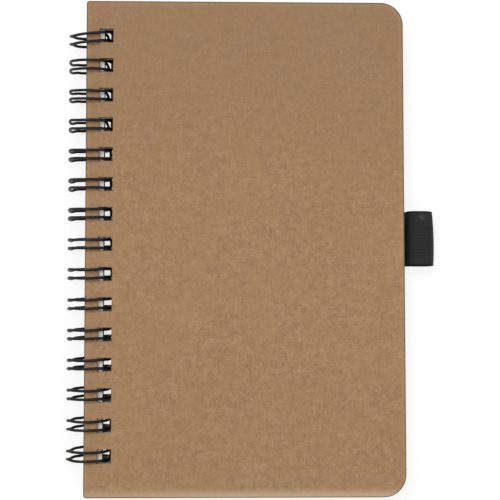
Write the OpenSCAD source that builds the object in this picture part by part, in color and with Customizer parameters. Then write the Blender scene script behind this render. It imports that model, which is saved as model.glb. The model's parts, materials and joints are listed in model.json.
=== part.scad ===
// Pocket notebook with kraft board covers, a block of sheets, a twin-loop wire and a pen loop.
// It lies closed on its back cover: X runs from spine to fore-edge, Y towards the head, Z up.
// The origin is under the middle of the outline, on the surface that the notebook lies on.

/* [Covers] */
// Width of each cover, from spine edge to fore-edge
cover_w = 90; // [75:1:150]
// Length of each cover, from tail to head
cover_l = 140; // [110:1:220]
// Thickness of the cover board
cover_t = 0.9; // [0.5:0.1:1.4]
// Radius of the two corners at the fore-edge
fore_corner = 6.35; // [2:0.05:12]
// Radius of the two corners at the spine
spine_corner = 0.8; // [0.3:0.1:1.5]

/* [Sheets] */
// Thickness of the whole block of sheets
block_t = 4.9; // [3.5:0.1:5.4]
// Margin between sheets and cover at head, tail and fore-edge
block_inset = 1.5; // [0.5:0.1:3]
// Margin between sheets and cover at the spine
block_spine_inset = 1.3; // [0.3:0.1:1.5]

/* [Punched holes] */
// Side of each square hole
hole = 4; // [3.8:0.1:4.6]
// Margin between the spine edge of a cover or sheet and its holes
hole_margin = 3.75; // [3.4:0.05:4.2]
// Spacing of the holes and loops, three to the inch
pitch = 8.4667; // [8:0.0001:12]
// Least distance from head or tail to the middle of a loop
end_margin = 9.75; // [8:0.05:14]

/* [Wire] */
// Diameter of the coated wire
wire_d = 0.8; // [0.6:0.05:0.9]
// Outer diameter of the closed loops
ring_od = 12.5; // [12:0.1:13.5]
// Spacing of the two strands of one loop
strand_gap = 2.5; // [2.2:0.1:2.8]
// Bend radius between a strand and the bar that leads to the next loop
bar_bend = 0.9; // [0.7:0.05:1.2]
// Height of the front cover's outer face over the middle of the loops
cover_over_mid = 4.4; // [4:0.05:4.6]

/* [Pen loop] */
// Width of the elastic tape
tape_w = 15.5; // [10:0.5:25]
// Thickness of the elastic tape
tape_t = 0.45; // [0.3:0.05:0.5]
// How far the loop stands out past the covers
loop_reach = 8.5; // [8.3:0.1:12]
// Outer height of the loop
loop_h = 5.6; // [5.2:0.1:5.8]
// Length of tape glued down inside the back cover
tape_glued = 18; // [8:1:30]
// Distance of the loop's middle from the middle of the cover, towards the head
loop_up = 2.2; // [-30:0.1:30]

/* [Fits] */
// Gap between the front cover and the first sheet
cover_gap = 0.3; // [0.2:0.05:0.5]
// Gap between the wire and the inner side of the covers' holes
wire_clear = 0.26; // [0.1:0.01:0.35]
// Gap on each side of the bars, which lie between the last sheet and the back cover
bar_clear = 0.1; // [0.08:0.01:0.2]
// Gap between the fore-edge of the sheets and the rising pen loop
tape_clear = 0.25; // [0.2:0.05:0.5]

/* [Hidden] */

kraft = "#a28160";
paper = "#f3efe6";
wire_black = "#161616";
elastic_black = "#2b2b2c";
facets = 96;
wire_facets = 16;
past = 1;
bend_lap = 0.05;
bend_step = 0.01;

// Heights of the stack, measured from the middle of the loops
ring_r = ring_od / 2;
wire_r = ring_r - wire_d / 2;
front_in = cover_over_mid - cover_t;
block_top = front_in - cover_gap;
block_bottom = block_top - block_t;
seam = max(wire_d, 2 * tape_t) + 2 * bar_clear;
back_in = block_bottom - seam;
back_out = back_in - cover_t;

// The covers hang with the inner wall of their holes just clear of the wire
hole_from = sqrt(pow(wire_r - wire_d / 2 - wire_clear, 2) - pow(cover_over_mid, 2));
hole_mid = hole_from + hole / 2;
spine_x = hole_from - hole_margin;
fore_x = spine_x + cover_w;
block_fore_x = fore_x - block_inset;

// Loops are counted from the head
loops = floor((cover_l - 2 * end_margin) / pitch) + 1;
function loop_y(i) = cover_l / 2 - end_margin - i * pitch;

// Both the bars and the closed tips of the loops lie in the seam over the back cover
bar_z = back_in + seam / 2;
bar_ring_r = norm([wire_r, bar_bend]);
strand_from = asin(bar_z / bar_ring_r) + atan2(bar_bend, wire_r);
tip_ring_r = norm([wire_r, strand_gap / 2]);
strand_to = 360 + asin(bar_z / tip_ring_r) - atan2(strand_gap / 2, wire_r);
strand_turn = strand_to - strand_from;
foot_y = strand_gap / 2 + bar_bend;
bar_l = pitch - 2 * foot_y;

// The wire is cut halfway along a bar at both ends
stub_l = bar_l / 2;

// The tape leaves its glued end, rises in two quarter bends and comes back under itself
tape_rise_x = block_fore_x + tape_clear;
rise_r = (loop_h - 2 * tape_t) / 2;
rise_z = back_in + 1.5 * tape_t + rise_r;
flat_x = tape_rise_x + 2 * rise_r;
end_x = fore_x + loop_reach - loop_h / 2;
end_z = back_in + loop_h / 2;
tape_from_x = fore_x - tape_glued;

// The loops and the fore-edge of the back cover both touch the surface below
lean = asin(ring_r / norm([fore_x, back_out])) - atan2(-back_out, fore_x);
reach_x = end_x * cos(lean) + end_z * sin(lean) + loop_h / 2;
mid_x = (reach_x - ring_r) / 2;

module lie_down() {
    translate([-mid_x, 0, ring_r])
        rotate([0, lean, 0])
            children();
}

// A board or sheet outline with round corners
module outline(x0, x1, length, r_spine, r_fore) {
    half = length / 2;
    difference() {
        translate([x0, -half])
            square([x1 - x0, length]);
        corner_cut(x0, -half, 0, r_spine);
        corner_cut(x1, -half, 90, r_fore);
        corner_cut(x1, half, 180, r_fore);
        corner_cut(x0, half, 270, r_spine);
    }
}

// What the rounding takes away at one corner
module corner_cut(x, y, turn, r) {
    translate([x, y])
        rotate(turn)
            difference() {
                translate([-past, -past])
                    square(r + past);
                translate([r, r])
                    circle(r, $fn = facets);
            }
}

module hole_row(x0) {
    for (i = [0 : loops - 1])
        translate([x0, loop_y(i) - hole / 2])
            square(hole);
}

module cover(z0) {
    color(kraft)
        lie_down()
            translate([0, 0, z0])
                linear_extrude(cover_t)
                    difference() {
                        outline(spine_x, fore_x, cover_l, spine_corner, fore_corner);
                        hole_row(hole_from);
                    }
}

module front_cover() {
    cover(front_in);
}

module back_cover() {
    cover(back_out);
}

module page_block() {
    color(paper)
        lie_down()
            translate([0, 0, block_bottom])
                linear_extrude(block_t)
                    difference() {
                        outline(spine_x + block_spine_inset, block_fore_x,
                                cover_l - 2 * block_inset, spine_corner, fore_corner);
                        hole_row(hole_from + block_spine_inset);
                    }
}

// A place on the loops' middle line: X points to the head, Y on along the loop, Z outwards
module on_ring(angle, y) {
    rotate([90, 0, 0])
        rotate([0, 0, angle])
            translate([wire_r, 0, 0])
                rotate([0, 90, 0])
                    translate([y, 0, 0])
                        children();
}

module arc(r, from, sweep, d) {
    rotate([0, 0, from])
        rotate_extrude(angle = sweep, $fn = facets)
            translate([r, 0])
                circle(d = d, $fn = wire_facets);
}

// A tight bend is drawn a hair thinner, and its ends run a little way into the wire that it joins
module bend(r, from, sweep) {
    lap = bend_lap / r * 180 / PI;
    arc(r, from - lap, sweep + 2 * lap, wire_d - 2 * bend_step);
}

module strand(y) {
    translate([0, y, 0])
        rotate([90, 0, 0])
            arc(wire_r, strand_from, strand_turn, wire_d);
}

// A straight stretch of wire on the seam line, from one height along the spine upwards
module bar(y0, length) {
    on_ring(strand_from, y0)
        translate([0, -bar_bend, 0])
            rotate([0, 90, 0])
                cylinder(h = length, d = wire_d, $fn = wire_facets);
}

// One loop: two strands, the round tip that joins them and the bends into its two bars
module wire_loop() {
    strand(-strand_gap / 2);
    strand(strand_gap / 2);
    on_ring(strand_to, 0)
        bend(strand_gap / 2, 0, 180);
    on_ring(strand_from, foot_y)
        bend(bar_bend, 180, 90);
    on_ring(strand_from, -foot_y)
        bend(bar_bend, 270, 90);
}

module wire_binding() {
    color(wire_black)
        lie_down()
            for (i = [0 : loops - 1])
                translate([0, loop_y(i), 0]) {
                    wire_loop();
                    bar(foot_y, i == 0 ? stub_l : bar_l);
                    if (i == loops - 1)
                        bar(-foot_y - stub_l, stub_l);
                }
}

// A bend of the tape, seen along Y, from one angle on by a half or a quarter turn
module tape_bend(x, z, r, from, sweep) {
    translate([x, z])
        rotate(from)
            intersection() {
                difference() {
                    circle(r + tape_t / 2, $fn = facets);
                    circle(r - tape_t / 2, $fn = facets);
                }
                translate([sweep > 90 ? -2 * r : 0, 0])
                    square([sweep > 90 ? 4 * r : 2 * r, 2 * r]);
            }
}

module tape_run(x0, x1, z) {
    translate([x0, z])
        square([x1 - x0, tape_t]);
}

module tape_profile() {
    tape_run(tape_from_x, end_x, back_in);
    tape_run(tape_from_x, tape_rise_x, back_in + tape_t);
    tape_bend(tape_rise_x, rise_z, rise_r, 270, 90);
    tape_bend(flat_x, rise_z, rise_r, 90, 90);
    tape_run(flat_x, end_x, back_in + loop_h - tape_t);
    tape_bend(end_x, end_z, (loop_h - tape_t) / 2, 270, 180);
}

module pen_loop() {
    color(elastic_black)
        lie_down()
            translate([0, loop_up + tape_w / 2, 0])
                rotate([90, 0, 0])
                    linear_extrude(tape_w)
                        tape_profile();
}

front_cover();
back_cover();
page_block();
wire_binding();
pen_loop();
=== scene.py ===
"""Looks of a wire-bound pocket notebook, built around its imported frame."""

import json
import math

import bpy
from mathutils import Euler, Matrix, Vector


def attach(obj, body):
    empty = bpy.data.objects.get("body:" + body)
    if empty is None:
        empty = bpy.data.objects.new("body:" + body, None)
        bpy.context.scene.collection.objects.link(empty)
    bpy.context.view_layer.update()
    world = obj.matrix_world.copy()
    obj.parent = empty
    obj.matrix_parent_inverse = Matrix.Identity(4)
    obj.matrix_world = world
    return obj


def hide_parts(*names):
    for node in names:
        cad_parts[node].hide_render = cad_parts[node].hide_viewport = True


bl_info = {
    "name": "Wire-bound notebook",
    "version": (1, 0, 0),
    "blender": (4, 5, 0),
    "location": "View3D > Sidebar > Notebook",
    "description": "Kraft covers, loose sheets, twin-loop wire and an elastic pen loop",
    "category": "Object",
}

MM = 0.001
HOLE_REACH = 2.6 * MM  # a sheet's point this close to the middle of a hole is one of its corners
TIP_REACH = 7 * MM  # length of wire on each side of a loop's tip that moves with the tip
TIP_POWER = 3.6  # 2 is a round tip, and more is squarer
# Depths below the loops' middle where the room behind them comes in, and where it fades again
ROOM_IN = (-3.0 * MM, 2.1 * MM)
ROOM_OUT = (2.2 * MM, 4.7 * MM)
ROOM_FADE = 0.65
ROOM_WIDTH = 4.0 * MM  # the room is full this far from the loops' middle, on the spine side
SWING_FADE = 0.36  # share of the first loop's swing that is lost there
STRAND_STEPS = 76
TIP_STEPS = 18
BEND_STEPS = 6
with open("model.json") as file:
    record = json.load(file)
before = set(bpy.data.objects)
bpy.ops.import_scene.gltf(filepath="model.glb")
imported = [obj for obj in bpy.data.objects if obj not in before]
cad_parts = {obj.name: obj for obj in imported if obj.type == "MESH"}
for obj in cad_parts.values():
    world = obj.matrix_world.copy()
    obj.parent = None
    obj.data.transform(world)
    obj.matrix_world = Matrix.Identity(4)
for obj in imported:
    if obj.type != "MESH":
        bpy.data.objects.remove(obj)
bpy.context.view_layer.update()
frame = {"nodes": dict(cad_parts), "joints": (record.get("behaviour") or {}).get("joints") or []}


class Book:
    """The notebook's own axes and sizes, read from the frame, in metres.

    In these axes the covers lie flat: X runs from the middle of the wire loops towards the
    fore-edge, Y along the spine to the head and Z up out of the front cover.
    """

    def __init__(self):
        hinge = next(j for j in frame["joints"] if j["child"] == "back")
        ring = Vector(hinge["pos_m"])
        cover = frame["nodes"]["front_cover"].data
        up = sum((p.normal * p.area for p in cover.polygons if p.normal.z > 0.9), Vector())
        self.lean = math.atan2(up.x, up.z)
        self.lie = Matrix.Translation(ring) @ Matrix.Rotation(self.lean, 4, "Y")
        self.front = self.span("front_cover")
        self.back = self.span("back_cover")
        self.sheets = self.span("page_block")
        self.wire = self.span("wire_binding")
        self.tape = self.span("pen_loop")

    def span(self, node):
        """Lowest and highest corner of a CAD node in the notebook's own axes."""
        flat = self.lie.inverted()
        places = [flat @ v.co for v in frame["nodes"][node].data.vertices]
        low = Vector(min(p[i] for p in places) for i in range(3))
        high = Vector(max(p[i] for p in places) for i in range(3))
        return low, high


BOOK = Book()


def length_property(name, description, millimetres):
    return bpy.props.FloatProperty(
        name=name, description=description, default=millimetres * MM,
        subtype="DISTANCE", unit="LENGTH")


def colour_property(name, description, default):
    return bpy.props.FloatVectorProperty(
        name=name, description=description, default=default, size=3, subtype="COLOR")


def tinted(colour, *factors):
    """A colour times one factor, or times one for each channel, and at most 1."""
    each = factors * 3 if len(factors) == 1 else factors
    return tuple(min(1.0, c * k) for c, k in zip(colour, each))


class BoardSizes(bpy.types.PropertyGroup):
    """Sizes and colour of the two covers."""

    fore_corner: length_property("Fore-edge corner", "Radius of the corners at the fore-edge", 6.35)
    spine_corner: length_property("Spine corner", "Radius of the corners at the spine", 0.8)
    edge_round: length_property("Edge rounding", "How far the punch has rounded the cut edges", 0.1)
    kraft: colour_property("Kraft", "Mean colour of the board", (0.358, 0.2155, 0.1105))


class HoleSizes(bpy.types.PropertyGroup):
    """Sizes of the punched holes."""

    side: length_property("Side", "Side of a square hole", 3.8)
    margin: length_property("Margin", "Board between the spine edge and a hole", 3.75)
    pitch: length_property("Spacing", "Spacing of the holes along the spine", 8.4667)
    head: length_property(
        "Head margin", "Distance from the head to the middle of the first hole", 9.75)
    skid: length_property(
        "Skid",
        "How far the front cover's holes sit to the tail and the back cover's to the head", 0.24)
    count: bpy.props.IntProperty(name="Count", description="Number of holes", default=15)


class SheetSizes(bpy.types.PropertyGroup):
    """Sizes and colour of the loose sheets."""

    count: bpy.props.IntProperty(name="Sheets", description="Number of sheets", default=52)
    stray: length_property("Stray", "How far a sheet may lie out of line", 0.06)
    seed: bpy.props.IntProperty(name="Seed", description="Seed of the strays", default=7)
    hug: bpy.props.FloatProperty(
        name="Hug", description="Share by which the holes of the last sheet are narrower", default=0.17)
    hug_up: length_property(
        "Hug to the head", "How far the holes of the last sheet sit to the head", 0.74)
    hug_late: length_property(
        "Hug at the tail", "How much further to the head they sit at the last three loops", 0.45)
    hug_in: length_property(
        "Hug inwards", "How much closer the last sheet's holes end behind the wire", 1.85)
    paper: colour_property("Paper", "Colour of the sheets", (0.86, 0.83, 0.77))


class WireSizes(bpy.types.PropertyGroup):
    """Sizes and colour of the twin-loop wire."""

    thickness: length_property("Wire", "Diameter of the coated wire", 0.8)
    strand_gap: length_property("Strands", "Spacing of the two strands of a loop", 2.35)
    bar_bend: length_property("Bar bend", "Bend radius between a strand and its bar", 0.9)
    lean: bpy.props.FloatProperty(
        name="Lean", description="How far the loops lean to the head for each metre of height",
        default=-0.12)
    ease: length_property(
        "Ease", "Depth below the loops' middle at which the lean has died away twice over", 12)
    shift: length_property("Shift", "How far the middles of the loops have slid to the head", 0.33)
    tip_in: length_property(
        "Tips at the head", "How far the tips of the first four loops are pressed inwards", 0.75)
    tip_out: length_property(
        "Tips in the middle", "How far the tips of the middle loops stand out", 0.65)
    tip_far_out: length_property(
        "Tips towards the tail",
        "How much further the tips of the tenth to thirteenth loop stand out", 0.5)
    pinch: length_property(
        "Pinch", "How much closer to the loop's middle a strand runs at the tip", 0.12)
    wobble: length_property("Wobble", "Scale of the small bends that no two loops share", 0.8)
    tip_skew: length_property(
        "Tip skew", "How much further in the head side of those first tips lies", 0.45)
    first_swing: length_property(
        "First loop", "How far the round back of the first loop stands to the head", -1.3)
    room: length_property(
        "Room",
        "How far the underside of the loops keeps back for the opened front cover's holes", 0.71)
    coating: colour_property("Coating", "Colour of the coating", (0.003, 0.003, 0.0032))


class TapeSizes(bpy.types.PropertyGroup):
    """Sizes and colour of the elastic tape of the pen loop."""

    thickness: length_property("Thickness", "Thickness of the tape", 0.45)
    rib: length_property("Rib", "Spacing of the ribs across the tape", 0.82)
    rib_height: length_property(
        "Rib height", "How far a rib stands over the groove beside it", 0.05)
    bow: length_property("Bow", "How far the corners of the loop's end stay behind its middle", 0.3)
    stretch: length_property(
        "Stretch", "How much further than the relaxed tape the loop's end stands out", 0.48)
    slip: length_property("Slip", "How far the tape has slid to the head", 0.47)
    elastic: colour_property("Elastic", "Colour of the tape", (0.0115, 0.0115, 0.012))


class Value:
    """A number socket in a material. Python's operators on it add Math nodes."""

    def __init__(self, finish, socket):
        self.finish = finish
        self.socket = socket

    def math(self, operation, *others):
        node = self.finish.node("Math", {"operation": operation}, {})
        for place, item in enumerate((self, *others)):
            self.finish.feed(node.inputs[place], item)
        return Value(self.finish, node.outputs[0])

    def swapped(self, operation, other):
        node = self.finish.node("Math", {"operation": operation}, {})
        self.finish.feed(node.inputs[0], other)
        self.finish.feed(node.inputs[1], self)
        return Value(self.finish, node.outputs[0])

    def __add__(self, other):
        return self.math("ADD", other)

    def __sub__(self, other):
        return self.math("SUBTRACT", other)

    def __mul__(self, other):
        return self.math("MULTIPLY", other)

    def __truediv__(self, other):
        return self.math("DIVIDE", other)

    def __rsub__(self, other):
        return self.swapped("SUBTRACT", other)

    __radd__ = __add__
    __rmul__ = __mul__

    def limited(self):
        node = self.finish.node("Clamp", {}, {"Value": self})
        return Value(self.finish, node.outputs[0])

    def smooth(self, low, high):
        """0 below low, 1 above high, and a smooth step between them."""
        settings = {"interpolation_type": "SMOOTHSTEP"}
        inputs = {"Value": self, "From Min": low, "From Max": high}
        node = self.finish.node("MapRange", settings, inputs)
        return Value(self.finish, node.outputs[0])


class Finish:
    """One material. node() adds any node, and the other methods are for what recurs."""

    def __init__(self, name):
        self.material = bpy.data.materials.new(name)
        self.material.use_nodes = True
        self.tree = self.material.node_tree
        self.tree.nodes.clear()

    def feed(self, socket, item):
        if isinstance(item, Value):
            self.tree.links.new(item.socket, socket)
        elif isinstance(item, bpy.types.NodeSocket):
            self.tree.links.new(item, socket)
        elif isinstance(item, (tuple, list)) and len(item) == 3 and socket.type == "RGBA":
            socket.default_value = (*item, 1.0)
        else:
            socket.default_value = item

    def node(self, kind, settings, inputs):
        """A node of that kind, with its settings made first and then its inputs fed by name."""
        node = self.tree.nodes.new("ShaderNode" + kind)
        for key, setting in settings.items():
            setattr(node, key, setting)
        for key, item in inputs.items():
            self.feed(node.inputs[key], item)
        return node

    def place(self):
        """Object coordinates, which a finished piece shares with the frame."""
        return self.node("TexCoord", {}, {}).outputs["Object"]

    def along(self, vector, stretch, turn=(0.0, 0.0, 0.0)):
        """Coordinates turned and stretched about the origin."""
        inputs = {"Vector": vector, "Scale": stretch, "Rotation": turn}
        return self.node("Mapping", {}, inputs).outputs["Vector"]

    def noise(self, vector, scale, detail=3.0, roughness=0.5, distortion=0.0):
        inputs = {
            "Vector": vector, "Scale": scale, "Detail": detail,
            "Roughness": roughness, "Distortion": distortion,
        }
        return Value(self, self.node("TexNoise", {}, inputs).outputs["Fac"])

    def parts(self, vector):
        split = self.node("SeparateXYZ", {}, {"Vector": vector})
        return [Value(self, split.outputs[axis]) for axis in "XYZ"]

    def own_axes(self):
        """Object coordinates turned into the notebook's own axes."""
        inputs = {
            "Vector": self.place(), "Location": BOOK.lie.translation, "Rotation": (0.0, BOOK.lean, 0.0),
        }
        return self.node("Mapping", {"vector_type": "TEXTURE"}, inputs).outputs["Vector"]

    def from_holes(self, holes, head):
        """Distance out from the nearest hole of a cover whose first hole is that far from the head."""
        x, y, _ = self.parts(self.own_axes())
        low, high = BOOK.front
        across = (x - (low.x + holes.margin + holes.side / 2)).math("ABSOLUTE")
        row = ((high.y - head) - y) / holes.pitch
        nearest = row.math("ROUND").math("MAXIMUM", 0.0).math("MINIMUM", holes.count - 1.0)
        along = (row - nearest).math("ABSOLUTE") * holes.pitch
        return across.math("MAXIMUM", along) - holes.side / 2

    def from_outline(self, board):
        """Distance in from the outline of a cover, with its round corners."""
        x, y, _ = self.parts(self.own_axes())
        low, high = BOOK.front
        x = x - (low.x + high.x) / 2
        r = x.math("GREATER_THAN", 0.0) * (board.fore_corner - board.spine_corner) + board.spine_corner
        across = x.math("ABSOLUTE") - (high.x - low.x) / 2 + r
        along = y.math("ABSOLUTE") - high.y + r
        corner = sum(side.math("MAXIMUM", 0.0).math("POWER", 2.0) for side in (across, along))
        return r - corner.math("SQRT") - across.math("MAXIMUM", along).math("MINIMUM", 0.0)

    def blend(self, share, first, second):
        """A colour between two colours, by that share."""
        node = self.node("Mix", {"data_type": "RGBA", "blend_type": "MIX"}, {})
        self.feed(node.inputs[0], share)
        self.feed(node.inputs[6], first)
        self.feed(node.inputs[7], second)
        return node.outputs[2]

    def bump(self, height, strength, distance):
        inputs = {"Height": height, "Strength": strength, "Distance": distance}
        return self.node("Bump", {}, inputs).outputs["Normal"]

    def surface(self, **inputs):
        """Ends the material in a Principled BSDF. Names are its inputs with spaces as underscores."""
        named = {key.replace("_", " "): item for key, item in inputs.items()}
        shader = self.node("BsdfPrincipled", {}, named)
        out = self.node("OutputMaterial", {}, {})
        self.tree.links.new(shader.outputs[0], out.inputs[0])
        return self.material


def kraft_board(name, sizes, holes, head):
    """Brown kraft board: cloudy pulp, fine fibres both ways, a few dark and pale flecks."""
    f = Finish(name)
    here = f.place()
    cloud = f.noise(here, 38.0, 4.0, 0.55)
    mottle = f.noise(here, 560.0, 4.0, 0.62, 0.6)
    fine = f.noise(here, 1500.0, 3.0, 0.6)
    fibre_a = f.noise(f.along(here, (300.0, 1900.0, 900.0), (0.0, 0.0, 0.5)), 1.0, 3.0, 0.6, 0.8)
    fibre_b = f.noise(f.along(here, (1700.0, 330.0, 900.0), (0.0, 0.0, 0.9)), 1.0, 3.0, 0.6, 0.8)
    fleck = f.noise(f.along(here, (900.0, 3200.0, 900.0), (0.0, 0.0, 0.9)), 1.0, 1.0, 0.4)
    dark_fleck = (1.0 - fleck).smooth(0.70, 0.78)
    straw = f.noise(f.along(here, (3000.0, 800.0, 900.0), (0.0, 0.0, 0.3)), 1.0, 1.0, 0.4)
    pale_fleck = straw.smooth(0.69, 0.77)
    x, y, _ = f.parts(f.own_axes())
    # Painted highlight: paler towards the tail edge, more so towards the fore-edge.
    painted_tail_highlight = (-1.0 * y).smooth(67.0 * MM, 69.7 * MM) * (x.smooth(0.0, 40 * MM) * 0.5 + 0.5)
    # Painted shade: the board darker towards the head.
    painted_head_shade = y.smooth(-5 * MM, 78 * MM)
    inward = f.from_outline(sizes)
    # Painted shade: a dark line just inside the cover's outline.
    painted_rim_shade = 1.0 - inward.smooth(0.12 * MM, 0.36 * MM)
    # Painted shade: a dark line round each hole.
    painted_hole_shade = 1.0 - f.from_holes(holes, head).smooth(0.04 * MM, 0.22 * MM)
    # A paler strip 0.3 to 1.6 mm inside the outline.
    pale_strip_and_highlight = inward.smooth(0.3 * MM, 0.6 * MM) * (1.0 - inward.smooth(0.9 * MM, 1.6 * MM))
    tone = (cloud - 0.5) * 0.2 + (mottle - 0.5) * 1.35 + (fine - 0.5) * 0.9
    tone = tone + (fibre_a - 0.5) * 0.5 + (fibre_b - 0.5) * 0.5
    shade = (tone + 0.5).limited()
    kraft = tuple(sizes.kraft)
    dark = tinted(kraft, 0.72, 0.69, 0.63)
    pale = tinted(kraft, 1.28, 1.31, 1.41)
    colour = f.blend(shade, dark, pale)
    warm = f.noise(here, 130.0, 2.0, 0.5).smooth(0.35, 0.65)
    colour = f.blend(warm * 0.35, colour, tinted(kraft, 1.05, 0.97, 0.9))
    colour = f.blend(dark_fleck * 0.4, colour, tinted(kraft, 0.5))
    colour = f.blend(pale_fleck * 0.3, colour, tinted(kraft, 1.6))
    # Painted shade towards the head.
    colour = f.blend(painted_head_shade * 0.5, colour, tinted(kraft, 0.75))
    colour = f.blend(pale_strip_and_highlight * 0.2, colour, tinted(kraft, 1.3, 1.34, 1.3))
    # Painted highlight along the tail edge.
    colour = f.blend(painted_tail_highlight * 0.8, colour, tinted(kraft, 1.6, 1.85, 2.3))
    # Painted shade along the outline.
    colour = f.blend(painted_rim_shade * 0.8, colour, tinted(kraft, 0.18))
    # Painted shade round the holes.
    colour = f.blend(painted_hole_shade * 0.6, colour, tinted(kraft, 0.12))
    relief = f.bump(mottle * 0.5 + fibre_a * 0.6 + fibre_b * 0.6 + fine * 0.4, 0.35, 0.05 * MM)
    return f.surface(
        Base_Color=colour, Roughness=0.86 + (mottle - 0.5) * 0.12, Normal=relief,
        Specular_IOR_Level=0.35)


def cut_board(name, sizes, holes, head):
    """The cut edge of the board, where the plies show as thin darker lines, with painted black shade on
    the walls of the holes.
    """
    f = Finish(name)
    here = f.place()
    plies = f.noise(f.along(here, (150.0, 150.0, 9000.0)), 1.0, 3.0, 0.6)
    fuzz = f.noise(here, 2400.0, 2.0, 0.6)
    kraft = tuple(sizes.kraft)
    shade = ((plies - 0.5) * 0.9 + (fuzz - 0.5) * 0.5 + 0.5).limited()
    colour = f.blend(shade, tinted(kraft, 0.42), tinted(kraft, 0.86))
    # Painted shade: the walls of the holes near black.
    punched = 1.0 - f.from_holes(holes, head).smooth(0.1 * MM, 0.6 * MM)
    colour = f.blend(punched * 0.92, colour, tinted(kraft, 0.03))
    relief = f.bump(plies + fuzz * 0.6, 0.5, 0.06 * MM)
    return f.surface(Base_Color=colour, Roughness=0.93, Normal=relief, Specular_IOR_Level=0.25)


def inside_holes(f):
    """Where shade is painted in the holes: 1 in the block's holes and on the sheets close to them,
    below the first sheet, and 0 else.
    """
    x, y, z = f.parts(f.own_axes())
    low, high = BOOK.sheets
    along = (x - low.x).smooth(2.6 * MM, 3.2 * MM) * (1.0 - (x - low.x).smooth(8.3 * MM, 8.9 * MM))
    off_ends = (high.y - y.math("ABSOLUTE")).smooth(4.0 * MM, 4.6 * MM)
    return along * off_ends * (high.z - z).smooth(0.1 * MM, 0.4 * MM)


def white_paper(sizes):
    """Uncoated white paper with a faint grain, and painted shade in the holes below the first sheet."""
    f = Finish("paper")
    here = f.place()
    grain = f.noise(here, 900.0, 4.0, 0.65)
    cloud = f.noise(here, 60.0, 3.0, 0.5)
    paper = tuple(sizes.paper)
    shade = ((grain - 0.5) * 0.5 + (cloud - 0.5) * 0.4 + 0.5).limited()
    colour = f.blend(shade, tinted(paper, 0.965), tinted(paper, 1.02))
    z = f.parts(f.own_axes())[2]
    # Painted shade: the sheets near black in and round the holes, below the first sheet.
    painted_pit_shade = inside_holes(f) * (z - BOOK.sheets[0].z).smooth(0.1 * MM, 0.2 * MM)
    colour = f.blend(painted_pit_shade * 0.9, colour, tinted(paper, 0.06))
    relief = f.bump(grain, 0.18, 0.02 * MM)
    return f.surface(Base_Color=colour, Roughness=0.82, Normal=relief, Specular_IOR_Level=0.3)


def cut_paper(sizes):
    """The cut edges of the sheets, with thin darker lines painted as shade of the gaps between them,
    and painted black shade in the holes.
    """
    f = Finish("paper_edge")
    plies = f.noise(f.along(f.own_axes(), (120.0, 120.0, 11000.0)), 1.0, 2.0, 0.5)
    grain = f.noise(f.place(), 1500.0, 2.0, 0.5)
    paper = tuple(sizes.paper)
    # Painted shade: thin darker lines along the edges, for the gaps between the sheets.
    shade = ((plies - 0.5) * 1.2 + (grain - 0.5) * 0.4 + 0.5).limited()
    colour = f.blend(shade, tinted(paper, 0.8), tinted(paper, 0.98))
    x = f.parts(f.own_axes())[0]
    past_spine_side = (x - BOOK.sheets[0].x).smooth(3.8 * MM, 4.3 * MM)
    # Painted shade: the cut edges near black in the holes, less dark on the spine-side walls.
    colour = f.blend(inside_holes(f) * (past_spine_side * 0.4 + 0.5), colour, tinted(paper, 0.06))
    return f.surface(Base_Color=colour, Roughness=0.9, Specular_IOR_Level=0.2)


def coated_wire(sizes):
    """Steel wire in a thin glossy black coating, slightly uneven."""
    f = Finish("black_coating")
    here = f.place()
    ripple = f.noise(here, 700.0, 2.0, 0.5)
    rub = f.noise(here, 260.0, 4.0, 0.6).smooth(0.52, 0.72)
    coating = tuple(sizes.coating)
    colour = f.blend(rub * 0.5, coating, tinted(coating, 2.6))
    relief = f.bump(ripple, 0.12, 0.03 * MM)
    return f.surface(
        Base_Color=colour, Roughness=0.42 + rub * 0.12, Normal=relief, Specular_IOR_Level=0.22)


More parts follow.
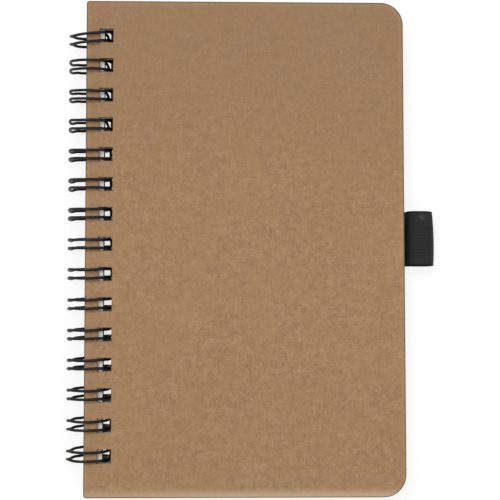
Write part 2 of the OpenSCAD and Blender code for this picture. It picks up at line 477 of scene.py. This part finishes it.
def woven_elastic(sizes):
    """Black elastic: ribs run along the tape, with fine weft threads across them."""
    f = Finish("black_elastic")
    uv = f.node("UVMap", {"uv_map": "UVMap"}, {}).outputs["UV"]
    along, across, _ = f.parts(uv)
    weft_turn = 2 * math.pi / 0.34
    weft = (along * weft_turn).math("SINE")
    rib = (across * (2 * math.pi * MM / sizes.rib)).math("COSINE")
    half_rib = (across * (math.pi * MM / sizes.rib)).math("COSINE")
    stagger = (along * weft_turn).math("COSINE") * half_rib
    lint = f.noise(f.place(), 1800.0, 4.0, 0.7)
    rubbed = f.noise(f.place(), 150.0, 3.0, 0.6).smooth(0.5, 0.75)
    elastic = tuple(sizes.elastic)
    ridge = (rib * 0.5 + 0.5) * 0.6 + (stagger * 0.5 + 0.5) * 0.4
    shade = (ridge * 0.55 + (lint - 0.5) * 0.6 + 0.12).limited()
    colour = f.blend(shade, tinted(elastic, 0.55), tinted(elastic, 1.65))
    colour = f.blend(rubbed * 0.4, colour, tinted(elastic, 2.6))
    low, high = BOOK.tape
    x, y, _ = f.parts(f.own_axes())
    # Painted highlight: a paler spot near the head-side corner of the loop's end.
    highlight_x, highlight_y = high.x - 3.2 * MM, high.y + sizes.slip - 1.7 * MM
    off_spot = ((x - highlight_x).math("POWER", 2.0) + (y - highlight_y).math("POWER", 2.0)).math("SQRT")
    pale_strip_and_highlight = (1.0 - off_spot.smooth(0.3 * MM, 1.5 * MM)) * lint.smooth(0.35, 0.6)
    colour = f.blend(pale_strip_and_highlight * 0.6, colour, tinted(elastic, 6.0))
    width = (high.y - low.y) / MM
    # Darker within about half a millimetre of both long sides of the tape and of the loop's end.
    dark_side_lines = 1.0 - (width / 2 - (across - width / 2).math("ABSOLUTE")).smooth(0.35, 0.65)
    end = (x - high.x - sizes.stretch).smooth(-0.55 * MM, -0.3 * MM)
    colour = f.blend(dark_side_lines.math("MAXIMUM", end) * 0.95, colour, tinted(elastic, 0.04))
    relief = f.bump(ridge * 0.7 + weft * 0.12 + lint * 0.25, 0.6, 0.08 * MM)
    return f.surface(
        Base_Color=colour, Roughness=0.74 + (lint - 0.5) * 0.2, Normal=relief,
        Specular_IOR_Level=0.22, Sheen_Weight=0.03, Sheen_Roughness=0.5)


def lay_down(piece):
    """Turns a piece from the notebook's own axes into the frame's, in its mesh."""
    piece.data.transform(BOOK.lie)
    piece.data.update()


def link(name, data):
    piece = bpy.data.objects.new(name, data)
    bpy.context.scene.collection.objects.link(piece)
    return piece


def flattened(piece, name):
    """A plain mesh object with what a curve or its modifiers made. The first object goes."""
    graph = bpy.context.evaluated_depsgraph_get()
    mesh = bpy.data.meshes.new_from_object(piece.evaluated_get(graph))
    mesh.name = name
    source = piece.data
    bpy.data.objects.remove(piece)
    if isinstance(source, bpy.types.Curve):
        bpy.data.curves.remove(source)
    return link(name, mesh)


def round_outline(low, high, r_spine, r_fore, steps=14):
    """Points of a rectangle with round corners, anticlockwise from the tail end of the spine."""
    corners = (
        (low.x, low.y, 1, 1, 180, r_spine), (high.x, low.y, -1, 1, 270, r_fore),
        (high.x, high.y, -1, -1, 0, r_fore), (low.x, high.y, 1, -1, 90, r_spine),
    )
    points = []
    for x, y, sx, sy, start, r in corners:
        for i in range(steps + 1):
            a = math.radians(start + 90 * i / steps)
            points.append((x + sx * r + r * math.cos(a), y + sy * r + r * math.sin(a)))
    return points


def punched_plate(name, low, high, radii, holes, hole_x, edge_round):
    """A flat plate between two corners, with round corners, a row of holes and soft edges."""
    curve = bpy.data.curves.new(name, "CURVE")
    curve.dimensions = "2D"
    curve.fill_mode = "BOTH"
    curve.extrude = (high.z - low.z) / 2 - edge_round
    curve.bevel_depth = edge_round
    curve.bevel_resolution = 2 if edge_round else 0
    curve.offset = -edge_round
    loops = [round_outline(low, high, *radii)]
    for i in range(holes.count):
        y = high.y - hole_x[1] - i * holes.pitch
        x0, x1 = hole_x[0], hole_x[0] + holes.side
        y0, y1 = y - holes.side / 2, y + holes.side / 2
        loops.append([(x0, y0), (x0, y1), (x1, y1), (x1, y0)])
    for points in loops:
        spline = curve.splines.new("POLY")
        spline.points.add(len(points) - 1)
        spline.use_cyclic_u = True
        for point, (x, y) in zip(spline.points, points):
            point.co = (x, y, 0.0, 1.0)
    plate = flattened(link(name + "_outline", curve), name)
    plate.data.transform(Matrix.Translation((0.0, 0.0, (low.z + high.z) / 2)))
    return plate


def paint_edges(plate, face, edge):
    """Gives the flat sides one material and the cut edges another."""
    plate.data.materials.clear()
    plate.data.materials.append(face)
    plate.data.materials.append(edge)
    for polygon in plate.data.polygons:
        polygon.material_index = 0 if abs(polygon.normal.z) > 0.6 else 1


class NOTEBOOK_OT_covers(bpy.types.Operator):
    """Makes the two kraft board covers"""

    bl_idname = "notebook.covers"
    bl_label = "Covers"

    def execute(self, context):
        board = context.scene.notebook_board
        holes = context.scene.notebook_holes
        radii = (board.spine_corner, board.fore_corner)
        for node, body, (low, high), head in (
            ("front_cover", "front", BOOK.front, holes.head + holes.skid),
            ("back_cover", "back", BOOK.back, holes.head - holes.skid),
        ):
            face = kraft_board(body + "_kraft", board, holes, head)
            edge = cut_board(body + "_kraft_edge", board, holes, head)
            hole_x = (low.x + holes.margin, head)
            cover = punched_plate(node + "_board", low, high, radii, holes, hole_x, board.edge_round)
            paint_edges(cover, face, edge)
            lay_down(cover)
            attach(cover, body)
            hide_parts(node)
        return {"FINISHED"}


class Nodes:
    """A Geometry Nodes tree, built node by node."""

    def __init__(self, name):
        self.tree = bpy.data.node_groups.new(name, "GeometryNodeTree")
        self.tree.interface.new_socket("Geometry", in_out="INPUT", socket_type="NodeSocketGeometry")
        self.tree.interface.new_socket("Geometry", in_out="OUTPUT", socket_type="NodeSocketGeometry")
        self.start = self.tree.nodes.new("NodeGroupInput")
        self.end = self.tree.nodes.new("NodeGroupOutput")
        self.names = {}

    def input(self, name, kind):
        item = self.tree.interface.new_socket(name, in_out="INPUT", socket_type="NodeSocket" + kind)
        self.names[name] = item.identifier
        return self.start.outputs[name]

    def floats(self, *names):
        return [self.input(name, "Float") for name in names]

    def node(self, kind, settings=None, **inputs):
        node = self.tree.nodes.new(kind)
        for key, setting in (settings or {}).items():
            setattr(node, key, setting)
        for key, item in inputs.items():
            numbered = key[0] == "i" and key[1:].isdigit()
            socket = node.inputs[int(key[1:]) if numbered else key.replace("_", " ")]
            if isinstance(item, bpy.types.NodeSocket):
                self.tree.links.new(item, socket)
            else:
                socket.default_value = item
        return node

    def calc(self, operation, first, second=0.0):
        return self.node("ShaderNodeMath", {"operation": operation}, i0=first, i1=second).outputs[0]

    def stepped(self, value, low, high, kind="SMOOTHSTEP"):
        """0 below low, 1 above high, and a step between them."""
        settings = {"interpolation_type": kind}
        return self.node("ShaderNodeMapRange", settings, i0=value, i1=low, i2=high).outputs[0]

    def place(self):
        spot = self.node("ShaderNodeSeparateXYZ", i0=self.node("GeometryNodeInputPosition").outputs[0])
        return spot.outputs[0], spot.outputs[1], spot.outputs[2]

    def tips_out(self, row, reach, far_reach):
        """How far the tip of a loop stands out, by the loop's number from the head."""
        growing = self.stepped(row, 2.7, 8.3, "LINEAR")
        late = self.calc("MULTIPLY", self.stepped(row, 3.2, 3.9), growing)
        far = self.calc("SUBTRACT", self.stepped(row, 8.4, 8.9), self.stepped(row, 12.4, 12.9))
        near = self.calc("MULTIPLY", late, reach)
        return self.calc("ADD", near, self.calc("MULTIPLY", far, far_reach))

    def finish(self, geometry):
        self.tree.links.new(geometry, self.end.inputs[0])

    def run(self, piece, name, values):
        """Puts the tree on a piece, sets its inputs by identifier and returns a plain mesh."""
        modifier = piece.modifiers.new("tree", "NODES")
        modifier.node_group = self.tree
        for key, value in values.items():
            modifier[self.names[key]] = value
        piece.update_tag()
        return flattened(piece, name)


def sheet_stack_tree():
    """Copies one sheet up the block, each copy a little out of line, with holes that hug the wire."""
    t = Nodes("sheet_stack")
    calc, stepped = t.calc, t.stepped
    count = t.input("Count", "Int")
    rise = t.input("Rise", "Float")
    stray = t.input("Stray", "Float")
    seed = t.input("Seed", "Int")
    material = t.input("Material", "Material")
    edge_material = t.input("Edge Material", "Material")
    pitch, first_y, low_z, high_z, hole_mid = t.floats(
        "Pitch", "First Y", "Low Z", "High Z", "Hole Middle")
    hug, hug_up, hug_late, hug_in = t.floats("Hug", "Hug Up", "Hug Late", "Hug In")
    tip_out, tip_far_out, last_row = t.floats("Tip Out", "Tip Far Out", "Last Row")
    step = t.node("ShaderNodeCombineXYZ", Z=rise)
    line = t.node("GeometryNodeMeshLine", {"mode": "OFFSET"}, Count=count, Offset=step.outputs[0])
    low = t.node("ShaderNodeVectorMath", {"operation": "SCALE"}, i0=(-1.0, -1.0, 0.0), Scale=stray)
    high = t.node("ShaderNodeVectorMath", {"operation": "SCALE"}, i0=(1.0, 1.0, 0.0), Scale=stray)
    shift = t.node("FunctionNodeRandomValue", {"data_type": "FLOAT_VECTOR"},
                   i0=low.outputs[0], i1=high.outputs[0], Seed=seed)
    spread = t.node("GeometryNodeSetPosition", Geometry=line.outputs[0], Offset=shift.outputs[0])
    copies = t.node("GeometryNodeInstanceOnPoints", Points=spread.outputs[0],
                    Instance=t.start.outputs["Geometry"])
    real = t.node("GeometryNodeRealizeInstances", Geometry=copies.outputs[0])
    x, y, z = t.place()
    row = calc("DIVIDE", calc("SUBTRACT", first_y, y), pitch)
    row = calc("MINIMUM", calc("MAXIMUM", calc("ROUND", row), 0.0), last_row)
    off_mid = calc("SUBTRACT", y, calc("SUBTRACT", first_y, calc("MULTIPLY", row, pitch)))
    near_y = calc("LESS_THAN", calc("ABSOLUTE", off_mid), HOLE_REACH)
    off_x = calc("ABSOLUTE", calc("SUBTRACT", x, hole_mid))
    on_hole = calc("MULTIPLY", near_y, calc("LESS_THAN", off_x, HOLE_REACH))
    deep = stepped(calc("SUBTRACT", high_z, z), 0.4 * MM, calc("SUBTRACT", high_z, low_z), "LINEAR")
    deep = calc("MULTIPLY", deep, on_hole)
    aside = calc("ADD", hug_up, calc("MULTIPLY", stepped(row, 11.4, 11.6), hug_late))
    aside = calc("SUBTRACT", aside, calc("MULTIPLY", off_mid, hug))
    inner = calc("GREATER_THAN", x, hole_mid)
    early = calc("SUBTRACT", 1.0, stepped(row, 3.2, 3.9))
    closing = calc("ADD", hug_in, calc("MULTIPLY", early, 0.4 * MM))
    closing = calc("SUBTRACT", closing, t.tips_out(row, tip_out, tip_far_out))
    closing = calc("MULTIPLY", calc("MULTIPLY", closing, inner), -1.0)
    squeeze = t.node("ShaderNodeCombineXYZ",
                     X=calc("MULTIPLY", closing, deep), Y=calc("MULTIPLY", aside, deep))
    hugged = t.node("GeometryNodeSetPosition", Geometry=real.outputs[0], Offset=squeeze.outputs[0])
    faces = t.node("GeometryNodeSetMaterial", Geometry=hugged.outputs[0], Material=material)
    normal = t.node("ShaderNodeSeparateXYZ", i0=t.node("GeometryNodeInputNormal").outputs[0])
    upright = t.node("ShaderNodeMath", {"operation": "ABSOLUTE"}, i0=normal.outputs[2])
    edge = t.node("ShaderNodeMath", {"operation": "LESS_THAN"}, i0=upright.outputs[0], i1=0.5)
    painted = t.node("GeometryNodeSetMaterial", Geometry=faces.outputs[0], Selection=edge.outputs[0],
                     Material=edge_material)
    t.finish(painted.outputs[0])
    return t


class NOTEBOOK_OT_sheets(bpy.types.Operator):
    """Makes the block of loose sheets"""

    bl_idname = "notebook.sheets"
    bl_label = "Sheets"

    def execute(self, context):
        sheets = context.scene.notebook_sheets
        wire = context.scene.notebook_wire
        board = context.scene.notebook_board
        holes = context.scene.notebook_holes
        low, high = BOOK.sheets
        cover = BOOK.front[1]
        rise = (high.z - low.z) / sheets.count
        top = Vector((high.x - sheets.stray, high.y - sheets.stray, low.z + rise * 0.94))
        bottom = Vector((low.x + sheets.stray, low.y + sheets.stray, low.z))
        radii = (board.spine_corner, board.fore_corner)
        hole_x = (low.x + holes.margin, holes.head + holes.skid - (cover.y - top.y))
        sheet = punched_plate("sheet", bottom, top, radii, holes, hole_x, 0.0)
        values = {
            "Count": sheets.count, "Rise": rise, "Stray": sheets.stray,
            "Seed": sheets.seed, "Material": white_paper(sheets), "Edge Material": cut_paper(sheets),
            "Pitch": holes.pitch, "First Y": cover.y - holes.head - holes.skid,
            "Low Z": low.z, "High Z": high.z, "Hole Middle": low.x + holes.margin + holes.side / 2,
            "Hug": sheets.hug, "Hug Up": sheets.hug_up, "Hug Late": sheets.hug_late,
            "Hug In": sheets.hug_in,
            "Tip Out": wire.tip_out, "Tip Far Out": wire.tip_far_out, "Last Row": holes.count - 1.0,
        }
        block = sheet_stack_tree().run(sheet, "sheets", values)
        lay_down(block)
        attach(block, "block")
        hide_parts("page_block")
        return {"FINISHED"}


def arc_points(centre, start_way, end_way, turn, steps):
    """Points on an arc from centre + start_way towards centre + end_way, which is square to it."""
    points = []
    for i in range(1, steps + 1):
        a = math.radians(turn * i / steps)
        points.append(centre + start_way * math.cos(a) + end_way * math.sin(a))
    return points


def squared_tip(centre, side_way, end_way, steps):
    """Points on a half turn from centre + side_way to centre - side_way, flatter than an arc."""
    points = []
    for i in range(1, steps + 1):
        c, s = math.cos(math.pi * i / steps), math.sin(math.pi * i / steps)
        grow = (abs(c) ** TIP_POWER + abs(s) ** TIP_POWER) ** (-1 / TIP_POWER)
        points.append(centre + side_way * c * grow + end_way * s * grow)
    return points


def loop_path(wire, pitch, ring_r, seam_z):
    """The middle line of the wire through one loop, from halfway along one bar to the next.

    Each point comes with its share in the tip, which falls to 0 within TIP_REACH along the wire.
    """
    half_gap = wire.strand_gap / 2
    bend = wire.bar_bend
    strand_from = math.asin(seam_z / math.hypot(ring_r, bend)) + math.atan2(bend, ring_r)
    strand_to = 2 * math.pi + math.asin(seam_z / math.hypot(ring_r, half_gap))
    strand_to -= math.atan2(half_gap, ring_r)
    head = Vector((0.0, 1.0, 0.0))

    def on_ring(a, y):
        return Vector((ring_r * math.cos(a), y, ring_r * math.sin(a)))

    def onward(a):
        return Vector((-math.sin(a), 0.0, math.cos(a)))

    foot = half_gap + bend
    upper_bar = on_ring(strand_from, foot) - onward(strand_from) * bend
    lower_bar = on_ring(strand_from, -foot) - onward(strand_from) * bend
    points = [upper_bar + head * (pitch / 2 - foot), upper_bar]
    back = -onward(strand_from) * bend
    points += arc_points(on_ring(strand_from, foot), back, -head * bend, 90, BEND_STEPS)
    steps = STRAND_STEPS
    for i in range(1, steps + 1):
        points.append(on_ring(strand_from + (strand_to - strand_from) * i / steps, half_gap))
    tip_way = onward(strand_to) * half_gap
    points += squared_tip(on_ring(strand_to, 0.0), head * half_gap, tip_way, TIP_STEPS)
    for i in range(steps - 1, -1, -1):
        points.append(on_ring(strand_from + (strand_to - strand_from) * i / steps, -half_gap))
    points += arc_points(on_ring(strand_from, -foot), head * bend, back, 90, BEND_STEPS)
    points.append(lower_bar - head * (pitch / 2 - foot))
    runs = [0.0]
    for a, b in zip(points, points[1:]):
        runs.append(runs[-1] + (b - a).length)
    middle = runs[-1] / 2
    return points, [max(0.0, 1.0 - (abs(run - middle) / TIP_REACH) ** 2) for run in runs]


def wire_row_tree():
    """Repeats one loop's path along the spine, joins the paths to one line and gives it a tube."""
    t = Nodes("wire_row")
    count = t.input("Count", "Int")
    pitch, radius, join, lean, ease, shift, swing, first_y, ring_r = t.floats(
        "Pitch", "Radius", "Join", "Lean", "Ease", "Shift", "Swing", "First Y", "Ring Radius")
    tip_in, tip_out, tip_far_out, tip_skew = t.floats(
        "Tip In", "Tip Out", "Tip Far Out", "Tip Skew")
    pinch, wobble, room = t.floats("Pinch", "Wobble", "Room")
    material = t.input("Material", "Material")

    calc, stepped = t.calc, t.stepped

    def share(name):
        return t.node("GeometryNodeInputNamedAttribute", {"data_type": "FLOAT"}, Name=name).outputs[0]

    step = t.node("ShaderNodeCombineXYZ", Y=calc("MULTIPLY", pitch, -1.0))
    line = t.node("GeometryNodeMeshLine", {"mode": "OFFSET"}, Count=count, Offset=step.outputs[0])
    copies = t.node("GeometryNodeInstanceOnPoints", Points=line.outputs[0],
                    Instance=t.start.outputs["Geometry"])
    real = t.node("GeometryNodeRealizeInstances", Geometry=copies.outputs[0])
    joined = t.node("GeometryNodeMergeByDistance", Geometry=real.outputs[0], Distance=join)
    x, y, z = t.place()
    row = calc("DIVIDE", calc("SUBTRACT", first_y, y), pitch)
    easing = calc("ADD", calc("DIVIDE", calc("MINIMUM", z, 0.0), ease), 1.0)
    leaning = calc("ADD", calc("MULTIPLY", calc("MULTIPLY", z, lean), easing), shift)
    down, spinewards = calc("MULTIPLY", z, -1.0), calc("MULTIPLY", x, -1.0)
    under = calc("MULTIPLY", stepped(down, *ROOM_IN), stepped(spinewards, 0.0, ROOM_WIDTH))
    lower = calc("MULTIPLY", stepped(down, *ROOM_OUT), ROOM_FADE)
    under = calc("MULTIPLY", under, calc("SUBTRACT", 1.0, lower))
    first = calc("LESS_THAN", row, 0.5)
    others_under = calc("MULTIPLY", under, calc("SUBTRACT", 1.0, first))
    leaning = calc("SUBTRACT", leaning, calc("MULTIPLY", others_under, room))
    back_share = calc("DIVIDE", calc("SUBTRACT", ring_r, x), calc("MULTIPLY", ring_r, 2.0))
    swung = calc("MULTIPLY", calc("MULTIPLY", back_share, swing), first)
    swung = calc("MULTIPLY", swung, calc("SUBTRACT", 1.0, calc("MULTIPLY", under, SWING_FADE)))
    early = calc("SUBTRACT", 1.0, stepped(row, 3.2, 3.9))
    inwards = calc("MULTIPLY", early, calc("ADD", tip_in, calc("MULTIPLY", share("side"), tip_skew)))
    outwards = t.tips_out(row, tip_out, tip_far_out)
    tip_move = calc("MULTIPLY", share("tip"), calc("SUBTRACT", outwards, inwards))
    pinched = calc("MULTIPLY", calc("MULTIPLY", share("side"), share("tip")), pinch)
    bent = t.node("ShaderNodeTexNoise", Scale=90.0, Detail=1.0).outputs[0]
    bent = calc("MULTIPLY", calc("SUBTRACT", bent, 0.5), wobble)
    sideways = calc("SUBTRACT", calc("ADD", leaning, swung), calc("SUBTRACT", pinched, bent))
    move = t.node("ShaderNodeCombineXYZ", X=tip_move, Y=sideways)
    moved = t.node("GeometryNodeSetPosition", Geometry=joined.outputs[0], Offset=move.outputs[0])
    path = t.node("GeometryNodeMeshToCurve", Mesh=moved.outputs[0])
    ring = t.node("GeometryNodeCurvePrimitiveCircle", Resolution=14, Radius=radius)
    tube = t.node("GeometryNodeCurveToMesh", i0=path.outputs[0], i1=ring.outputs[0])
    tube.inputs["Fill Caps"].default_value = True
    smooth = t.node("GeometryNodeSetShadeSmooth", Geometry=tube.outputs[0])
    whole = t.node("GeometryNodeRealizeInstances", Geometry=smooth.outputs[0])
    painted = t.node("GeometryNodeSetMaterial", Geometry=whole.outputs[0], Material=material)
    t.finish(painted.outputs[0])
    return t


class NOTEBOOK_OT_wire(bpy.types.Operator):
    """Makes the twin-loop wire in one length"""

    bl_idname = "notebook.wire"
    bl_label = "Wire"

    def execute(self, context):
        wire = context.scene.notebook_wire
        holes = context.scene.notebook_holes
        ring_r = (BOOK.wire[1].z - BOOK.wire[0].z) / 2 - wire.thickness / 2
        seam_z = (BOOK.sheets[0].z + BOOK.back[1].z) / 2
        points, tips = loop_path(wire, holes.pitch, ring_r, seam_z)
        mesh = bpy.data.meshes.new("loop_path")
        first_y = BOOK.front[1].y - holes.head
        places = [(p.x, p.y + first_y, p.z) for p in points]
        mesh.from_pydata(places, [(i, i + 1) for i in range(len(points) - 1)], [])
        mesh.attributes.new("tip", "FLOAT", "POINT").data.foreach_set("value", tips)
        sides = [2 * p.y / wire.strand_gap for p in points]
        mesh.attributes.new("side", "FLOAT", "POINT").data.foreach_set("value", sides)
        values = {
            "Count": holes.count, "Pitch": holes.pitch, "Radius": wire.thickness / 2,
            "Join": 0.002 * MM, "Lean": wire.lean, "Ease": wire.ease, "Shift": wire.shift,
            "Swing": wire.first_swing, "First Y": first_y, "Ring Radius": ring_r,
            "Tip In": wire.tip_in, "Tip Out": wire.tip_out, "Tip Far Out": wire.tip_far_out,
            "Tip Skew": wire.tip_skew, "Pinch": wire.pinch, "Wobble": wire.wobble, "Room": wire.room,
            "Material": coated_wire(wire),
        }
        binding = wire_row_tree().run(link("loop_path", mesh), "wire", values)
        lay_down(binding)
        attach(binding, "block")
        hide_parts("wire_binding")
        return {"FINISHED"}


def tape_path(tape):
    """The middle line of the tape in the X-Z plane, from the upper end round to the lower end."""
    low, high = BOOK.tape
    t = tape.thickness
    loop_h = high.z - low.z
    rise_r = (loop_h - 2 * t) / 2
    rise_x = BOOK.sheets[1].x + 0.25 * MM
    rise_z = low.z + 1.5 * t + rise_r
    end_r = (loop_h - t) / 2
    end_x = high.x - loop_h / 2
    end_z = low.z + loop_h / 2
    points = []

    def straight(x0, x1, z, steps):
        for i in range(steps):
            points.append((x0 + (x1 - x0) * i / steps, z))

    def turned(x, z, r, start, turn, steps):
        for i in range(steps):
            a = math.radians(start + turn * i / steps)
            points.append((x + r * math.cos(a), z + r * math.sin(a)))

    straight(low.x, rise_x, low.z + 1.5 * t, 8)
    turned(rise_x, rise_z, rise_r, -90, 90, 16)
    turned(rise_x + 2 * rise_r, rise_z, rise_r, 180, -90, 16)
    straight(rise_x + 2 * rise_r, end_x, high.z - t / 2, 10)
    turned(end_x, end_z, end_r, 90, -180, 32)
    straight(end_x, low.x, low.z + t / 2, 24)
    points.append((low.x, low.z + t / 2))
    return points


class NOTEBOOK_OT_pen_loop(bpy.types.Operator):
    """Makes the elastic pen loop"""

    bl_idname = "notebook.pen_loop"
    bl_label = "Pen loop"

    def execute(self, context):
        tape = context.scene.notebook_tape
        low, high = BOOK.tape
        path = [Vector((x, 0.0, z)) for x, z in tape_path(tape)]
        runs = [0.0]
        for a, b in zip(path, path[1:]):
            runs.append(runs[-1] + (b - a).length)
        outs = []
        for i in range(len(path)):
            way = path[min(i + 1, len(path) - 1)] - path[max(i - 1, 0)]
            outs.append(Vector((-way.z, 0.0, way.x)).normalized())
        width = high.y - low.y
        tail_side = low.y + tape.slip
        half = tape.thickness / 2
        ribs = round(width / tape.rib)
        across = ribs * 6
        edge = Vector((high.x, 0.0, (low.z + high.z) / 2))
        reach = high.x - BOOK.front[1].x
        ring = []
        for side in (1, -1):
            order = range(across + 1) if side == 1 else range(across, -1, -1)
            for j in order:
                share = j / across
                inset = min(share, 1 - share) * width
                ridge = math.cos(2 * math.pi * share * ribs)
                body = half - tape.rib_height / 2 * (1 + ridge)
                rounding = 1.0 if inset > half else math.sqrt(1 - (1 - inset / half) ** 2)
                ring.append((share, side * max(body * rounding, half * 0.08)))
        places, faces, spots = [], [], []
        for i, (point, out) in enumerate(zip(path, outs)):
            past = max(0.0, point.x - BOOK.front[1].x) / reach
            for share, lift in ring:
                lean = 2 * share - 1
                pull = past ** 2 * (tape.bow * (lean + 0.24) ** 2 - tape.stretch)
                place = point + out * lift
                places.append((place.x - pull, tail_side + share * width, place.z))
                spots.append((runs[i] / MM, share * width / MM))
        size = len(ring)
        for i in range(len(path) - 1):
            for j in range(size):
                k = (j + 1) % size
                faces.append((i * size + j, (i + 1) * size + j, (i + 1) * size + k, i * size + k))
        faces.append(tuple(range(size)))
        last = (len(path) - 1) * size
        faces.append(tuple(range(last + size - 1, last - 1, -1)))
        mesh = bpy.data.meshes.new("pen_loop_tape")
        mesh.from_pydata(places, [], faces)
        layer = mesh.uv_layers.new(name="UVMap")
        for loop in mesh.loops:
            layer.data[loop.index].uv = spots[loop.vertex_index]
        mesh.materials.append(woven_elastic(tape))
        for polygon in mesh.polygons:
            polygon.use_smooth = True
        piece = link("pen_loop_tape", mesh)
        lay_down(piece)
        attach(piece, "back")
        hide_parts("pen_loop")
        return {"FINISHED"}


class StageSettings(bpy.types.PropertyGroup):
    """Camera and light. The camera's place is measured from the front cover's head and spine corner."""

    place: bpy.props.FloatVectorProperty(
        name="Camera", description="Camera from the corner of the front cover's face",
        default=(33.363 * MM, -102.797 * MM, 420.747 * MM), size=3, subtype="XYZ", unit="LENGTH")
    turn: bpy.props.FloatVectorProperty(
        name="Turn", description="Turn of the camera against the front cover's face",
        default=(0.0756, -0.03075, -0.00056), size=3, subtype="EULER", unit="ROTATION")
    lens: bpy.props.FloatProperty(
        name="Lens", description="Focal length on a 36 mm wide sensor", default=108.0)
    sky: bpy.props.FloatProperty(
        name="Sky", description="Strength of the even light from all round", default=0.344)
    key: bpy.props.FloatProperty(
        name="Key", description="Power of the soft lamp over the notebook", default=0.52,
        subtype="POWER", unit="POWER")


def white_background():
    """An even white world, plain white where the camera or a reflection sees it."""
    world = bpy.data.worlds.new("studio")
    bpy.context.scene.world = world
    world.use_nodes = True
    tree = world.node_tree
    tree.nodes.clear()
    path = tree.nodes.new("ShaderNodeLightPath")
    seen = tree.nodes.new("ShaderNodeMath")
    seen.operation = "MAXIMUM"
    tree.links.new(path.outputs["Is Camera Ray"], seen.inputs[0])
    more = tree.nodes.new("ShaderNodeMath")
    more.operation = "MAXIMUM"
    tree.links.new(seen.outputs[0], more.inputs[0])
    tree.links.new(path.outputs["Is Transmission Ray"], more.inputs[1])
    tree.links.new(path.outputs["Is Glossy Ray"], seen.inputs[1])
    strength = tree.nodes.new("ShaderNodeMapRange")
    strength.inputs["To Min"].default_value = bpy.context.scene.notebook_stage.sky
    strength.inputs["To Max"].default_value = 1.0
    tree.links.new(more.outputs[0], strength.inputs["Value"])
    light = tree.nodes.new("ShaderNodeBackground")
    light.inputs["Color"].default_value = (1.0, 1.0, 1.0, 1.0)
    tree.links.new(strength.outputs[0], light.inputs["Strength"])
    out = tree.nodes.new("ShaderNodeOutputWorld")
    tree.links.new(light.outputs[0], out.inputs[0])


def white_floor():
    """A pale floor that the camera sees as white, less a soft share of the notebook's shadow."""
    f = Finish("floor")
    pale = f.node("BsdfDiffuse", {}, {"Color": (0.86, 0.86, 0.86, 1.0)})
    faint = f.node("BsdfDiffuse", {}, {"Color": (0.24, 0.24, 0.24, 1.0)})
    glow = f.node("Emission", {}, {"Color": (1.0, 1.0, 1.0, 1.0), "Strength": 0.8})
    white = f.node("AddShader", {}, {})
    f.tree.links.new(faint.outputs[0], white.inputs[0])
    f.tree.links.new(glow.outputs[0], white.inputs[1])
    path = f.node("LightPath", {}, {})
    from_camera = Value(f, path.outputs["Is Camera Ray"])
    seen = from_camera.math("MAXIMUM", Value(f, path.outputs["Is Glossy Ray"]))
    either = f.node("MixShader", {}, {})
    f.feed(either.inputs[0], seen)
    f.tree.links.new(pale.outputs[0], either.inputs[1])
    f.tree.links.new(white.outputs[0], either.inputs[2])
    out = f.node("OutputMaterial", {}, {})
    f.tree.links.new(either.outputs[0], out.inputs[0])
    half_width = 1.2
    signs = ((-1, -1), (1, -1), (1, 1), (-1, 1))
    mesh = bpy.data.meshes.new("floor")
    mesh.from_pydata([(half_width * x, half_width * y, 0) for x, y in signs], [], [(0, 1, 2, 3)])
    mesh.materials.append(f.material)
    floor = link("floor", mesh)


def soft_lamp(name, place, size, power):
    lamp = bpy.data.lights.new(name, "AREA")
    lamp.shape = "SQUARE"
    lamp.size = size
    lamp.energy = power
    holder = link(name, lamp)
    holder.location = place
    holder.rotation_euler = (-Vector(place)).to_track_quat("-Z", "Y").to_euler()


class NOTEBOOK_OT_stage(bpy.types.Operator):
    """Sets the camera, the lamps and the floor"""

    bl_idname = "notebook.stage"
    bl_label = "Stage"

    def execute(self, context):
        stage = context.scene.notebook_stage
        corner = Vector((BOOK.front[0].x, BOOK.front[1].y, BOOK.front[1].z))
        camera = bpy.data.cameras.new("camera")
        camera.sensor_width = 36.0
        camera.lens = stage.lens
        camera.clip_start = 0.01
        holder = link("camera", camera)
        turn = Euler(stage.turn, "XYZ").to_matrix().to_4x4()
        holder.matrix_world = BOOK.lie @ Matrix.Translation(corner + Vector(stage.place)) @ turn
        context.scene.camera = holder
        context.scene.view_settings.view_transform = "Standard"
        white_background()
        white_floor()
        soft_lamp("key", (-0.25, 0.25, 0.86), 0.6, stage.key * 10)
        soft_lamp("fill", (0.6, -0.2, 0.6), 0.7, stage.key * 3)
        return {"FINISHED"}


class NOTEBOOK_PT_panel(bpy.types.Panel):
    """Lists the notebook's operators"""

    bl_idname = "NOTEBOOK_PT_panel"
    bl_label = "Notebook"
    bl_space_type = "VIEW_3D"
    bl_region_type = "UI"
    bl_category = "Notebook"

    def draw(self, context):
        for operator in OPERATORS:
            self.layout.operator(operator.bl_idname)


SETTINGS = {
    "notebook_board": BoardSizes, "notebook_holes": HoleSizes, "notebook_sheets": SheetSizes,
    "notebook_wire": WireSizes, "notebook_tape": TapeSizes, "notebook_stage": StageSettings,
}
OPERATORS = (
    NOTEBOOK_OT_stage, NOTEBOOK_OT_covers, NOTEBOOK_OT_sheets, NOTEBOOK_OT_wire, NOTEBOOK_OT_pen_loop,
)


def register():
    for cls in (*SETTINGS.values(), *OPERATORS, NOTEBOOK_PT_panel):
        bpy.utils.register_class(cls)
    for name, cls in SETTINGS.items():
        setattr(bpy.types.Scene, name, bpy.props.PointerProperty(type=cls))


def unregister():
    for name in SETTINGS:
        delattr(bpy.types.Scene, name)
    for cls in reversed((*SETTINGS.values(), *OPERATORS, NOTEBOOK_PT_panel)):
        bpy.utils.unregister_class(cls)


def main():
    register()
    bpy.ops.notebook.stage()
    bpy.ops.notebook.covers()
    bpy.ops.notebook.sheets()
    bpy.ops.notebook.wire()
    bpy.ops.notebook.pen_loop()
    bpy.context.view_layer.update()


if __name__ == "__main__":
    main()
